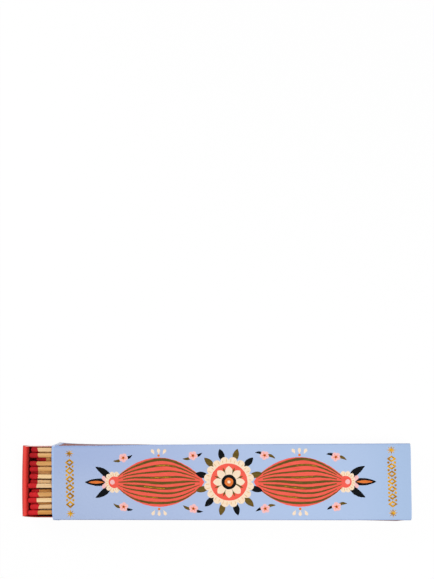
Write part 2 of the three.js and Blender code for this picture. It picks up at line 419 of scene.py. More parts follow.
def clamp(value):
    return min(1, max(0, value))


def polar(radius, degrees):
    return radius * math.cos(math.radians(degrees)), radius * math.sin(math.radians(degrees))


def arc(centre, radius, start, end, steps):
    """Points on an arc from one angle to another, in degrees."""
    angles = np.radians(np.linspace(start, end, steps + 1))
    return [(centre[0] + radius * math.cos(a), centre[1] + radius * math.sin(a)) for a in angles]


def spread(start, end, step):
    """Evenly spaced values from start to end, about this far apart."""
    return list(np.linspace(start, end, max(1, round(abs(end - start) / step)) + 1))


# Materials


def blue_with_painted_light(ink):
    """The paper's blue, mottled, with painted light and shade along it: lighter towards +X, shaded at the far
    end and towards the mouth.
    """
    blue = ink.mix(ink.noise(45, 1), "a8b9db", "b3c3e3")
    blue = ink.tint(blue, "aebfe2", 0.5, ink.noise(3.2, 3))
    blue = ink.tint(blue, "9dafd6", 0.2, ink.between(ink.noise(0.9, 2), 0.45, 0.75))
    # Painted light: the blue lightens towards +X, and painted shade darkens it near the far end.
    blue = ink.tint(blue, "abc4e5", 0.5, ink.between(ink.x, -70, 90))
    blue = ink.tint(blue, "a1bbdd", 0.6, ink.between(ink.x, 95, sleeve_end))
    # Painted shade over the top towards the mouth.
    painted_shade_quarter = ink.times(ink.between(ink.x, 20, -120), ink.between(ink.y, -8, 24))
    return ink.tint(blue, "9caeda", 0.45, painted_shade_quarter)


def worn_and_shaded_paper(ink, blue, inward, from_mouth):
    """The paper, with painted shade on the top's folds, most of all on the +Y one and behind the mouth, and
    at the mouth's edge and the +Y wall's margin there, rubbed paper lightened further by painted highlights.
    """
    depth = ink.minus(sleeve_top, ink.z)
    plus_y = ink.between(ink.y, -1, 1)
    # Painted shade on the top's folds, where they turn away from the light.
    shaded_fold = ink.times(ink.between(inward, 1.25, 0.5), ink.between(depth, 1.4, 0.5))
    blue = ink.mix(ink.times(shaded_fold, ink.plus(0.25, ink.times(plus_y, 0.25))), blue, "8fa8dc")
    # Painted shade along the +Y fold behind the mouth.
    shade_behind_mouth = ink.times(ink.between(ink.y, 27.3, 30.2), ink.between(ink.x, -75, -110))
    blue = ink.tint(blue, "93aad8", 0.9, shade_behind_mouth, ink.between(depth, 1.6, 0.8))
    # A pale painted highlight on the +Y wall's margin at the mouth, partly rubbed paper.
    pull = ink.times(ink.maths("DIVIDE", depth, sleeve_top), FOOT_PULL)
    rubbed_and_lit_margin = ink.between(ink.minus(from_mouth, pull), 2.9, 1.4)
    rubbed_and_lit_margin = ink.times(rubbed_and_lit_margin, ink.between(ink.y, panel_half - 0.6, panel_half - 0.2))
    blue = ink.tint(blue, "eceef8", 0.85, rubbed_and_lit_margin)
    # A lighter band along the mouth's cut edge: partly burnished paper, partly a painted highlight.
    return ink.tint(blue, "a9c6f2", 0.7, ink.between(from_mouth, 1.7, 1.1))


def strip_share(ink, inward, from_mouth):
    """1 on the striking strips, a little ragged. The +Y one wraps onto the top near the mouth."""
    ragged = ink.times(ink.minus(ink.noise(0.8, 2), 0.5), STRIP_RAGGED)
    fade = ink.maths("EXPONENT", ink.maths("DIVIDE", from_mouth, -STRIP_WRAP_REACH))
    wrap = ink.plus(ink.times(fade, STRIP_WRAP, ink.between(ink.y, -1, 1)), 0.1, ragged)
    wall_top = sleeve_top - SLEEVE_FOLD
    on_wall = ink.between(ink.z, wall_top + 0.05, wall_top - 0.05)
    beside_top = ink.maths("MAXIMUM", on_wall, ink.between(ink.minus(wrap, inward), -0.06, 0.06))
    above_foot = ink.between(ink.plus(ink.z, ragged), STRIP_FOOT - STRIP_SOFT, STRIP_FOOT + STRIP_SOFT)
    along = ink.plus(ink.maths("ABSOLUTE", ink.x), ragged)
    strip_end = sleeve_end - STRIP_END
    off_ends = ink.between(along, strip_end + STRIP_SOFT, strip_end - STRIP_SOFT)
    return ink.times(beside_top, above_foot, off_ends)


def strip_brown(ink, grain):
    """The strips' gritty brown, paler near the mouth."""
    brown = ink.mix(ink.between(grain, 0.35, 0.7), "80493f", "a8766a")
    brown = ink.mix(ink.between(ink.noise(2.5, 2, shift=7), 0.5, 0.8), brown, "94605a")
    return ink.tint(brown, "bf928a", 0.35, ink.between(ink.x, -80, -130))


def printed_ground():
    """The sleeve's blue paper, with its painted light and shade, and its striking strips."""
    ink = Finish("printed_ground", 0.55, specular=0.2)
    inward = ink.inside(ink.y, 0, sleeve_half)
    from_mouth = ink.plus(ink.x, sleeve_end)
    blue = worn_and_shaded_paper(ink, blue_with_painted_light(ink), inward, from_mouth)
    strip = strip_share(ink, inward, from_mouth)
    grain = ink.noise(0.35, 3)
    ink.paint(ink.mix(strip, blue, strip_brown(ink, grain)))
    ink.set("Roughness", ink.plus(0.5, ink.times(grain, 0.1), ink.times(strip, 0.35)))
    fibres = ink.times(ink.noise(0.25, 2, (3, 1, 1)), 0.25)
    ink.bump(ink.plus(fibres, ink.times(grain, strip, 1.5)), 0.05, 0.5)
    return ink.material


def painted_ink(name, colour, streak, depth, lengthways=True):
    """An ink of the print, brushed in streaks towards a second colour."""
    ink = Finish(name, 0.65, specular=0.05)
    stretch = (9, 1, 1) if lengthways else (1, 1, 1)
    streaks = ink.between(ink.noise(0.9, 3, stretch, shift=len(name)), 0.42, 0.68)
    patches = ink.noise(6, 2, shift=2 * len(name))
    brushed = ink.plus(ink.times(streaks, 0.7), ink.times(patches, 0.3))
    ink.paint(ink.mix(ink.times(brushed, depth), colour, streak))
    ink.bump(ink.noise(0.25, 2, (3, 1, 1)), 0.012, 0.5)
    return ink.material


def gold_foil():
    """Hot-stamped foil, its reflection painted in as mottling from bright gold to brown."""
    foil = Finish("gold_foil", 0.55, metallic=0.15, specular=0.1)
    # Painted reflection: dark and bright gold patches stand in for the foil's sheen.
    patches = foil.between(foil.noise(2.8, 3), 0.38, 0.64)
    gold = foil.mix(patches, "946407", "e2aa20")
    foil.paint(foil.mix(foil.between(foil.noise(0.6, 2, shift=5), 0.45, 0.75), gold, "b58318"))
    foil.bump(foil.noise(0.5, 2), 0.03, 0.6)
    return foil.material


def board_fibres(board):
    """Fibres along X, and the bumps of raw card."""
    board.bump(board.noise(0.3, 2, (4, 1, 1)), 0.04, 0.5)
    return board.between(board.noise(1.1, 3, (4, 1, 1)), 0.3, 0.7)


def raw_board(name, light, dark):
    """Unprinted card: the sleeve's inside or its cut edges."""
    board = Finish(name, 0.85, specular=0.2)
    board.paint(board.mix(board_fibres(board), light, dark))
    return board.material


def tray_edge():
    """The cut edge of the tray's card, pale along the rim of its +Y wall: rubbed, and lightened by painted
    light.
    """
    edge = Finish("tray_edge", 0.85, specular=0.2)
    fibres = board_fibres(edge)
    on_wall = edge.between(edge.y, tray_high.y - 1.6, tray_high.y - 1.2)
    past_corner = edge.between(edge.x, tray_low.x + 2.5, tray_low.x + 3.5)
    # Painted light, partly rubbed card: the rim of the +Y wall is pale.
    rim = edge.times(on_wall, edge.between(edge.z, 10, 12), past_corner)
    edge.paint(edge.mix(rim, edge.mix(fibres, "b9563c", "a0452f"), edge.mix(fibres, "f6d2cd", "e6b8b0")))
    return edge.material


def red_card():
    """The tray's dyed card, with painted light on the flaps, painted shade deep inside, and painted
    highlights on its upper folds and on the +Y wall's rim, which is also rubbed.
    """
    card = Finish("red_card", 0.7, specular=0.12)
    red = card.mix(card.noise(1.6, 3, (1, 5, 1)), "cf3431", "de4640")
    red = card.tint(red, "b82a2b", 0.3, card.between(card.noise(0.5, 2), 0.5, 0.8))
    depth = card.minus(tray_high.z, card.z)
    from_end = card.inside(card.x, tray_centre, tray_length / 2)
    from_side = card.inside(card.y, tray_middle, tray_half)
    inner = card.times(card.between(from_end, 0.7, 1.3), card.between(from_side, 0.34, 0.44))
    # Painted light on the upper part of the flaps and inner walls.
    red = card.mix(card.times(card.between(depth, 6.5, 4), inner), red, "ff4840")
    # Painted shade deep inside the tray.
    red = card.tint(red, "3c080b", 0.8, card.between(depth, 5.8, 8), inner)
    # Painted highlight along the top of the folds and rim.
    red = card.tint(red, "e6544a", 0.6, card.between(depth, 0.9, 0.1))
    # Painted light, partly rubbed card: the top of the +Y wall is pale past the fold.
    on_wall = card.between(card.y, tray_high.y - 1.6, tray_high.y - 1)
    past_fold = card.between(card.x, tray_low.x + 6, tray_low.x + 10)
    card.paint(card.tint(red, "f2c8c4", 0.9, on_wall, card.between(depth, 1.4, 0.7), past_fold))
    card.bump(card.noise(0.3, 2, (1, 3, 1)), 0.04, 0.5)
    return card.material


def match_wood(index, light, dark):
    """Aspen with fine grain along the stick, with painted shade down between the matches."""
    wood = Finish(f"match_wood_{index}", 0.72, specular=0.25)
    fine = wood.noise(0.42, 3, (40, 1, 1), shift=3.1 * index)
    broad = wood.noise(1.6, 2, (22, 1, 1), shift=5.3 * index)
    colour = wood.mix(wood.between(broad, 0.3, 0.7), light, dark)
    colour = wood.tint(colour, "b06f33", 0.5, wood.between(fine, 0.52, 0.72))
    # Painted shade down between the matches.
    depth = wood.minus(TOP_LAYER, wood.z)
    wood.paint(wood.tint(colour, "3a1507", 0.9, wood.between(depth, 4.4, 7)))
    wood.bump(fine, 0.08, 0.6)
    return wood.material


def match_head():
    """The dipped head: matt, granular and red, with painted shade towards +Y, low on its sides and down
    between the matches, and painted light towards -Y.
    """
    head = Finish("match_head", 0.7, specular=0.15)
    grains = head.noise(0.45, 3)
    red = head.mix(head.between(grains, 0.3, 0.7), "b0161d", "cc1d25")
    red = head.mix(head.between(head.noise(2.6, 2, shift=4), 0.45, 0.75), red, "d62529")
    # Painted shade towards +Y and painted light towards -Y.
    red = head.tint(red, "99141a", 0.5, head.between(head.y, -6, 20))
    red = head.tint(red, "e62c30", 0.35, head.between(head.y, 6, -4))
    # Painted shade low on the head and down between the matches.
    depth = head.minus(TOP_LAYER, head.z)
    red = head.tint(red, "5c0c10", 0.15, head.between(depth, 0, 3))
    head.paint(head.tint(red, "2c0507", 0.9, head.between(depth, 4, 7.5)))
    head.bump(grains, 0.14, 0.7)
    return head.material


# Print: closed outlines in the plane of the top panel


def ring_of(radius_at, count):
    """An outline whose distance from its middle depends on the angle."""
    angles = np.linspace(0, 2 * math.pi, count, endpoint=False)
    return [(radius_at(a) * math.cos(a), radius_at(a) * math.sin(a)) for a in angles]


def disc(radius, count):
    return ring_of(lambda _: radius, count)


def scalloped(radius, scallops, depth):
    """A disc with round scallops along its edge."""

    def radius_at(angle):
        return radius * (1 - depth * (1 - abs(math.sin(angle * scallops / 2)) ** 0.6))

    return ring_of(radius_at, scallops * 8)


def blade(middle, half):
    """An outline round a middle line, by its half width at each point."""
    upper = [(x, y + h) for (x, y), h in zip(middle, half)]
    lower = [(x, y - h) for (x, y), h in zip(middle, half)]
    return upper[:-1] + lower[:0:-1]


def leaf(length, width, bend=0.0, count=14):
    """A leaf from the origin along +X, pointed at both ends."""
    shares = np.linspace(0, 1, count)
    middle = [(t * length, bend * math.sin(math.pi * t)) for t in shares]
    return blade(middle, [width / 2 * math.sin(math.pi * t) ** 0.8 for t in shares])


def drop(length, width):
    """A petal from a point at the origin to a round end along +X."""
    shares = np.linspace(0, 1, 12)
    half = [width / 2 * math.sin(math.pi * t**1.7) ** 0.75 for t in shares]
    return blade([(t * length, 0) for t in shares], half)


def four_ray_star(radius, waist):
    """A star of four pointed rays with hollow sides."""
    points = []
    for k in range(16):
        share = (0, 0.5, 1, 0.5)[k % 4]
        points.append(polar(radius + (waist - radius) * share**0.6, 22.5 * k))
    return points


def lozenge(length, width):
    return [(length / 2, 0), (0, width / 2), (-length / 2, 0), (0, -width / 2)]


def placed(outline, x, y, turn):
    """An outline turned by degrees and moved."""
    c, s = polar(1, turn)
    return [(x + c * px - s * py, y + s * px + c * py) for px, py in outline]


def motif(ink, outline, x=0.0, y=0.0, turn=0.0):
    """One outline of the print with its ink, as a list to add to the others."""
    return [(ink, placed(outline, x, y, turn))]


def hand_drawn(outline):
    """The outline with a painter's slight unevenness."""
    drawn = []
    for x, y in outline:
        u, v = x * 0.45, y * 0.45
        drawn.append((x + UNEVENNESS * soft_noise(u, v, 3), y + UNEVENNESS * soft_noise(u, v, 9)))
    return drawn


def anticlockwise(outline):
    """The outline in the order in which it turns anticlockwise."""
    following = outline[1:] + outline[:1]
    doubled_area = sum(x * v - u * y for (x, y), (u, v) in zip(outline, following))
    return outline if doubled_area > 0 else outline[::-1]


def striped_spindle(x, length, width, stripes):
    """A long coral spindle with wavy olive stripes, some of them flecked with gold."""
    shares = np.linspace(0, 1, 40)

    def half_at(t):
        return width / 2 * math.sin(math.pi * t) ** 0.72

    def band(low, high, start, end):
        part = [t for t in shares if start <= t <= end]
        waves = [0.04 * math.sin(9 * t + 3 * low) * (low > -1) for t in part]
        upper = [(x - length / 2 + t * length, (high + wave) * half_at(t)) for t, wave in zip(part, waves)]
        lower = [(x - length / 2 + t * length, (low + wave) * half_at(t)) for t, wave in zip(part, waves)]
        return upper, lower

    upper, lower = band(-1, 1, 0, 1)
    shapes = [("coral", upper[:-1] + lower[:0:-1])]
    for k in range(stripes):
        middle = -1 + 2 * (k + 0.5) / stripes
        half = (0.44 + 0.1 * math.sin(5 * k)) / stripes
        upper, lower = band(middle - half, middle + half, 0.05 + 0.03 * (k % 2), 0.95 - 0.03 * (k % 2))
        shapes += motif("olive", upper + lower[::-1])
        if k % 2:
            start = 0.2 + 0.3 * abs(math.sin(3 * k))
            upper, lower = band(middle - 0.1 / stripes, middle + 0.06 / stripes, start, start + 0.25)
            shapes += motif("gold", upper + lower[::-1])
    return shapes


def flower(x, y, radius, turn):
    """A small flower of five petals with a dark eye."""
    turns = [turn + 72 * i for i in range(5)]
    petal = drop(radius, radius * 0.85)
    vein = leaf(radius * 0.62, radius * 0.12, count=6)
    shapes = [("pink", placed(petal, x, y, turn)) for turn in turns]
    shapes += [("coral", placed(vein, x, y, turn)) for turn in turns]
    shapes += motif("orange", disc(radius * 0.3, 16), x, y)
    shapes += motif("black", disc(radius * 0.14, 10), x, y)
    return shapes


def pleats(x, y, start, end, count):
    """Thin brush strokes that fan out across a collar."""
    strokes = []
    for i in range(count):
        turn = 360 * (i + 0.5) / count
        reach = (end - start) * (0.62 + 0.3 * abs(math.sin(2.1 * i)))
        dx, dy = polar(start, turn)
        strokes.append(("shade", placed(leaf(reach, 0.55, count=6), x + dx, y + dy, turn)))
    return strokes


def rosette(radius):
    """The middle of the design: leaves, a scalloped collar and a ring of petals round a dark eye."""
    shapes = []
    for i in range(12):
        angle = 30 * i + 15
        x, y = polar(0.66 * radius, angle)
        ink = "black" if i % 2 else "olive"
        shapes += motif(ink, leaf(0.46 * radius, 0.2 * radius), x, y, angle)
    shapes += motif("cream", scalloped(0.82 * radius, 16, 0.14))
    shapes += pleats(0, 0, 0.62 * radius, 0.8 * radius, 32)
    shapes += motif("coral", disc(0.6 * radius, 44))
    for i in range(8):
        shapes += motif("olive", leaf(0.5 * radius, 0.09 * radius), turn=45 * i + 22.5)
        shapes += motif("cream", drop(0.52 * radius, 0.24 * radius), turn=45 * i)
    shapes += motif("black", disc(0.24 * radius, 28))
    shapes += motif("orange", disc(0.14 * radius, 20))
    shapes += motif("cream", disc(0.05 * radius, 10))
    return shapes


def sprig(x, y, side_x, side_y):
    """A flower between two small leaves, turned towards one quarter of the panel."""
    turn = math.degrees(math.atan2(side_y, side_x))
    shapes = motif("olive", leaf(9, 2.4, 1.2), x, y, turn - 62 * side_x * side_y)
    shapes += motif("black", leaf(8, 2.2, -1), x, y, turn + 118 * side_x * side_y)
    return shapes + flower(x, y, 3.9, turn)


def end_spray(side):
    """A collar and three dark leaves beyond a spindle's outer tip."""
    x = side * SPRAY_X
    outward = 0 if side > 0 else 180
    shapes = []
    for turn in (-42, 42):
        shapes += motif("black", leaf(19, 5.4, 1.5 * math.copysign(1, turn)), x, 0, outward + turn)
    shapes += motif("black", leaf(23, 6), x, 0, outward)
    shapes += motif("orange", leaf(13, 2.2), x + side * 7, 0, outward)
    shapes += motif("cream", scalloped(8.8, 12, 0.16), x - side * 1.5, 0)
    shapes += pleats(x - side * 1.5, 0, 5, 8.2, 20)
    shapes += motif("coral", disc(4.8, 24), x - side * 1.5, 0)
    for turn in (-70, 70):
        shapes += motif("pink", drop(5.5, 3.2), x + side * 6, 0, outward + turn)
    return shapes


def painted_shapes():
    """The whole painted design, with what lies on top last."""
    shapes = []
    for side in (-1, 1):
        shapes += end_spray(side)
        shapes += striped_spindle(side * SPINDLE_X, SPINDLE_LENGTH, SPINDLE_WIDTH, SPINDLE_STRIPES)
        shapes += motif("pink", disc(2, 18), side * (SPRAY_X + 0.2), 0)
        for up in (-1, 1):
            for x, y in SPRIGS:
                shapes += sprig(side * x, up * y, side, up)
            for k in (-1, 0, 1):
                turn = up * (90 - 28 * k * side)
                x = side * (SPINDLE_X + DROP_PITCH * k)
                shapes += motif("cream", drop(5, 2.6), x, up * DROPS_Y, turn)
            shapes += motif("orange", disc(1.1, 12), side * SPINDLE_X, up * (DROPS_Y - 0.8))
    shapes += rosette(ROSETTE_RADIUS)
    return [(ink, hand_drawn(outline)) for ink, outline in shapes]


def foil_column(x, y, from_star, motifs):
    """A slightly slanting column of gold: a star at each end and hollow lozenges with dots between them."""
    shapes = []
    for up in (-from_star, from_star):
        shapes += motif("gold", four_ray_star(3.7, 0.5), 0, up)
        for i in range(4):
            shapes += motif("gold", leaf(3.5, 0.7, count=8), 0, up, 45 + 90 * i)
    pitch = 2 * (from_star - STAR_ROOM) / motifs
    for i in range(motifs):
        up = -from_star + STAR_ROOM + (i + 0.5) * pitch
        shapes += motif("gold", lozenge(7.6, pitch - 0.4), 0, up)
        shapes += motif("ground", lozenge(3.2, 0.36 * pitch), 0, up)
        if i + 1 < motifs:
            for side in (-1, 1):
                shapes += motif("gold", disc(1, 12), side * 2.6, up + pitch / 2)
    return [(ink, placed(outline, x, y, COLUMN_SLANT)) for ink, outline in shapes]


# Sleeve


def hump(x, middle, reach):
    """1 at the middle, falling smoothly to both sides of it."""
    return math.exp(-(((x - middle) / reach) ** 2))


def wall_lean(x, y, z):
    """How far a point of a side wall is pushed out."""
    low = 1 - z / sleeve_top
    share = clamp((abs(y) - sleeve_half / 2) / (sleeve_half / 2))
    from_mouth = x + sleeve_end
    if y > 0:
        tuck = FOLD_TUCK + MOUTH_TUCK * hump(from_mouth, MOUTH_TUCK_BACK, MOUTH_TUCK_REACH)
        flare = MOUTH_FLARE * math.exp(-from_mouth / MOUTH_FLARE_REACH)
        flare += TIP_FLARE * math.exp(-from_mouth / TIP_FLARE_REACH)
        flare += WALL_BOW * hump(from_mouth, WALL_BOW_BACK, WALL_BOW_REACH)
        return share * (low**FLARE_CURVE * flare - (1 - low) * tuck)
    kept = 1 - BACK_WEAR * max(0, 1 - (sleeve_end - x) / BACK_WEAR_REACH)
    flare = kept * BACK_FLARE * math.exp((x - sleeve_end) / BACK_FLARE_REACH)
    return -share * low * (flare + NEAR_FLARE * math.exp(-from_mouth / NEAR_FLARE_REACH))


def corner_rub(x, y, z):
    """How much a point near a corner of the top is rubbed."""
    along = max(0, 1 + (abs(x) - sleeve_end) / RUB_REACH) ** 2
    across = max(0, 1 - (sleeve_half - abs(y)) / RUB_REACH)
    rub = along * across * (z > sleeve_top - 3)
    if x < 0:
        rub *= MOUTH_RUB_NEAR if y < 0 else MOUTH_RUB_FAR
    return rub


def sleeve_place(x, y, z):
    """Where a point of a neat sleeve is on the used one."""
    slack = max(0, 1 - (y / panel_half) ** 2)
    if z > sleeve_top / 2:
        z -= PANEL_SAG * slack * (0.8 + 0.6 * soft_noise(x * 0.02, y * 0.03, 1))
    low = 1 - z / sleeve_top
    wave = WALL_WAVE * (1 - (2 * z / sleeve_top - 1) ** 2) * soft_noise(x * 0.03, y * 0.1, z * 0.1 + 5)
    rub = corner_rub(x, y, z)
    pull = FOOT_PULL * max(0, y / sleeve_half) * low * math.exp(-(x + sleeve_end) / FOOT_PULL_REACH)
    skew = SLEEVE_SKEW * y / (2 * sleeve_half)
    moved_x = x - SLEEVE_SHIFT + pull - skew - math.copysign(RUB_X * rub, x)
    moved_y = y + wall_lean(x, y, z) + wave * (abs(y) > panel_half) - math.copysign(RUB_Y * rub, y)
    return (moved_x, moved_y, z - RUB_Z * rub)


def sleeve_stations():
    """Places along the sleeve, closer together near its ends."""
    near_end = [0, 0.3, 0.7, 1.2, 1.8, 2.6, 4]
    middle = spread(-sleeve_end + 6, sleeve_end - 6, STATION_STEP)
    return [-sleeve_end + d for d in near_end] + middle + [sleeve_end - d for d in reversed(near_end)]


def panel_columns():
    """Places across the top panel."""
    return spread(-panel_half, panel_half, PANEL_STEP)


def wrap_rows(path):
    """A path of [y, z] round the sleeve, at every station along it."""
    return [[sleeve_place(x, y, z) for y, z in path] for x in reversed(sleeve_stations())]


def sleeve_wraps():
    """The sleeve's outside from the +Y fold round to the lap, and the -Y wall up to its fold."""
    fold = SLEEVE_FOLD
    high = sleeve_top - fold
    lap_half = sleeve_half - SLEEVE_CARD - 0.03
    down = [(sleeve_half, z) for z in spread(high, fold, 2.2)]
    under = [(y, 0) for y in spread(panel_half, -lap_half + fold, 4.5)]
    lap = [(-lap_half, z) for z in spread(fold, sleeve_top - SLEEVE_CARD - LAP_SHORT, 2.5)]
    round_path = [
        *arc((panel_half, high), fold, 90, 0, 6),
        *down[1:],
        *arc((panel_half, fold), fold, 0, -90, 6)[1:],
        *under[1:],
        *arc((-lap_half + fold, fold), fold, 270, 180, 6)[1:],
        *lap[1:],
    ]
    free_path = [
        *[(-sleeve_half, z) for z in spread(0.25, high, 2.2)],
        *arc((-panel_half, high), fold, 180, 90, 6)[1:],
    ]
    return wrap_rows(round_path), wrap_rows(free_path)


def printed_panel(shapes):
    """The top panel cut along the outlines of the print: points, triangles and the ink of each."""
    stations = sleeve_stations()
    columns = panel_columns()
    border = [(x, -panel_half) for x in stations]
    border += [(sleeve_end, y) for y in columns[1:]]
    border += [(x, panel_half) for x in reversed(stations[:-1])]
    border += [(-sleeve_end, y) for y in reversed(columns[1:-1])]
    points = list(border)
    edges = [(i, (i + 1) % len(border)) for i in range(len(border))]
    points += [(x, y) for x in stations[1:-1:2] for y in columns[1:-1]]
    faces = []
    for _, outline in shapes:
        start = len(points)
        points += anticlockwise(outline)
        faces.append(list(range(start, len(points))))
    cut = geometry.delaunay_2d_cdt([Vector(p) for p in points], edges, faces, 0, 1e-4, True)
    corners, triangles, within = cut[0], cut[2], cut[5]
    inks = [INKS.index(shapes[max(inside)][0]) if inside else 0 for inside in within]
    return [sleeve_place(x, y, sleeve_top) for x, y in corners], triangles, inks


def make_sleeve(finishes):
    """The folded sleeve: one sheet of card with the print cut into its top panel."""
    shapes = painted_shapes()
    for column in FOIL_COLUMNS:
        shapes += foil_column(*column)
    sheet = Sheet()
    for rows in sleeve_wraps():
        sheet.grid(rows)
    sheet.add(*printed_panel(shapes))
    piece = sheet.make("printed_sleeve", finishes)
    thicken(piece, SLEEVE_CARD, inside=len(INKS), edge=len(INKS) + 1)
    smooth(piece)
    return piece


# Tray, in its own measures: x from its head end, y from its middle and z from its underside


def tray_half_at(x):
    """The tray's half width, which is a little less near its ends."""
    from_end = min(x, tray_length - x)
    return tray_half - END_TUCK * max(0, 1 - from_end / END_TUCK_REACH) ** 2


def bulge_at(y):
    """How far an end wall bulges outwards."""
    return END_BULGE * (1 - (y / tray_half) ** 2) + END_SKEW * (1 - y / tray_half) / 2


def tray_place(x, y, z):
    """A point in the tray's own measures, in the frame's."""
    return (tray_start + x, tray_middle + y, tray_low.z + z)


def wall_dip(x, side, z):
    """How far a side wall leans in, with the +Y wall's open rim and the -Y wall's crushed corner."""
    high = (z / tray_height) ** 2
    dip = 0.07 * soft_noise(x * 0.03, side, 2) * high
    if side < 0:
        return dip + CORNER_CRUSH * max(0, 1 - x / CORNER_CRUSH_REACH) ** 2 * (0.4 + 0.6 * high)
    opened = max(0, 1 - (tray_height - z) / RIM_OPEN_HEIGHT) ** 1.5
    return dip + (WALL_TUCK * (0.3 + 0.7 * high) - RIM_OPEN * opened) * clamp((x - 3) / 5)


def tray_wall(side):
    """One side wall with the tabs that turn in behind the end walls, as rows along it."""
    inner = TRAY_CARD + 0.06
    corner = TRAY_FOLD
    end_half = tray_half - END_TUCK
    head_tab = [(inner, y) for y in spread(end_half - TAB_LENGTH, end_half - corner, 3)]
    turn = arc((inner + corner, end_half - corner), corner, 180, 90, 5)
    straight = [(x, tray_half_at(x)) for x in spread(inner + corner, tray_length - inner - corner, 3)]
    mirrored = [(tray_length - x, y) for x, y in reversed(head_tab + turn[1:-1])]
    plan = head_tab + turn[1:-1] + straight + mirrored
    heights = spread(TRAY_FOLD, tray_height - RIM_OPEN_HEIGHT, 2.2)
    heights += spread(tray_height - RIM_OPEN_HEIGHT, tray_height - 0.05, 0.3)[1:]
    rows = []
    for x, y in plan:
        from_end = min(x, tray_length - x)
        in_tab = from_end < inner + corner
        lowered = (FLAP_FOLD + 0.6) * clamp((inner + corner - from_end) / corner * 2)
        bulge = bulge_at(y) * (1 if x < tray_length / 2 else -1) if in_tab else 0
        column = [z * (tray_height - lowered) / tray_height for z in heights]
        rows.append([tray_place(x - bulge, side * (y - wall_dip(x, side, z)), z) for z in column])
    return rows if side > 0 else rows[::-1]


def tray_floor():
    """The floor with the folds along its sides, as rows along it."""
    rows = []
    for x in spread(TRAY_FOLD, tray_length - TRAY_FOLD, 3):
        half = tray_half_at(x)
        near_end = max(0, 1 - min(x - TRAY_FOLD, tray_length - TRAY_FOLD - x) / 12)
        side = 1 if x < tray_length / 2 else -1
        right = arc((half - TRAY_FOLD, TRAY_FOLD), TRAY_FOLD, 0, -90, 5)
        left = [(-y, z) for y, z in reversed(right)]
        path = right + [(y, 0) for y in spread(half - TRAY_FOLD, TRAY_FOLD - half, 5)][1:-1] + left
        rows.append([tray_place(x - side * near_end * bulge_at(y), y, z) for y, z in path])
    return rows[::-1]


def flap_profile(knee, foot):
    """An end wall, its turned top and its flap in section, from the floor to the flap's foot, as [x, z]."""
    fold_z = tray_height - FLAP_FOLD
    knee_point = np.array((knee, tray_height - KNEE_DROP))
    foot_point = np.array((foot, TRAY_CARD + FLAP_FOOT_GAP))
    reach = knee_point - (FLAP_FOLD, fold_z)
    leave = math.degrees(math.atan2(reach[1], reach[0]) + math.acos(FLAP_FOLD / math.hypot(*reach)))
    top = arc((FLAP_FOLD, fold_z), FLAP_FOLD, 180, leave, 16)
    return [
        *arc((TRAY_FOLD, TRAY_FOLD), TRAY_FOLD, 270, 180, FLOOR_FOLD_STEPS),
        *[(0, z) for z in spread(TRAY_FOLD, fold_z, 2.4)][1:-1],
        *top,
        *[tuple(np.array(top[-1]) * (1 - t) + knee_point * t) for t in (0.3, 0.6, 0.88)],
        *[tuple(knee_point * (1 - t) + foot_point * t) for t in (0.08, 0.4, 0.7, 1)],
    ]


def tray_end(flap, is_head):
    """An end wall with its flap, as rows across the tray. Past its fold the flap is narrower, to go between
    the side walls."""
    full_half = tray_half - END_TUCK
    flap_half = full_half - TRAY_CARD - FLAP_SIDE_GAP
    profile = flap_profile(**flap)
    crest = max(range(len(profile)), key=lambda i: profile[i][1])
    rows = []
    for share in np.linspace(-1, 1, 41):
        row = []
        delay = HEAD_FLAP_DELAY if is_head and share > 0 else 0
        for i, (x, z) in enumerate(profile):
            narrowed = clamp((i - crest - delay) / 3)
            y = share * (full_half + (flap_half - full_half) * narrowed)
            if i < FLOOR_FOLD_STEPS:
                y = share * (full_half - (TRAY_FOLD - 0.1) * (1 - i / FLOOR_FOLD_STEPS))
            if is_head and share > 0.8:
                y += HEAD_PROUD * (share - 0.8) / 0.2
            if is_head and share < -0.9:
                y += CORNER_CRUSH * ((-share - 0.9) / 0.1) * (0.4 + 0.6 * z / tray_height)
            crease = 0.05 * soft_noise(y * 0.25, x * 0.5, 4) * (i > crest)
            x_here = x - bulge_at(y) + crease
            row.append(tray_place(x_here if is_head else tray_length - x_here, y, z))
        rows.append(row)
    return rows if is_head else rows[::-1]


def make_tray(finishes):
    """The folded tray, as sheets of one card."""
    sheet = Sheet()
    for side in (-1, 1):
        sheet.grid(tray_wall(side))
    sheet.grid(tray_floor())
    sheet.grid(tray_end(HEAD_FLAP, True))
    sheet.grid(tray_end(TAIL_FLAP, False))
    piece = sheet.make("red_tray", finishes)
    thicken(piece, TRAY_CARD, inside=None, edge=1)
    smooth(piece)
    return piece


# Matches


def ring_point(angle, half, squareness):
    """A point on a section between a circle, at a squareness of 2, and a square."""
    reach = (abs(math.cos(angle)) ** squareness + abs(math.sin(angle)) ** squareness) ** (-1 / squareness)
    return half * reach * math.cos(angle), half * reach * math.sin(angle)


def head_half(x, coat):
    """A head's half width at a distance from its tip: blunt, then full, and thinner by the coat's end."""
    full, coat_end = HEAD_WIDTH / 2, STICK_WIDTH / 2 + COAT_THICKNESS
    if x < HEAD_TIP:
        return full * (1 - (1 - x / HEAD_TIP) ** HEAD_BLUNTNESS) ** 0.5
    fall = clamp((x - 0.55 * coat) / (0.42 * coat))
    return full + (coat_end - full) * fall * fall * (3 - 2 * fall)


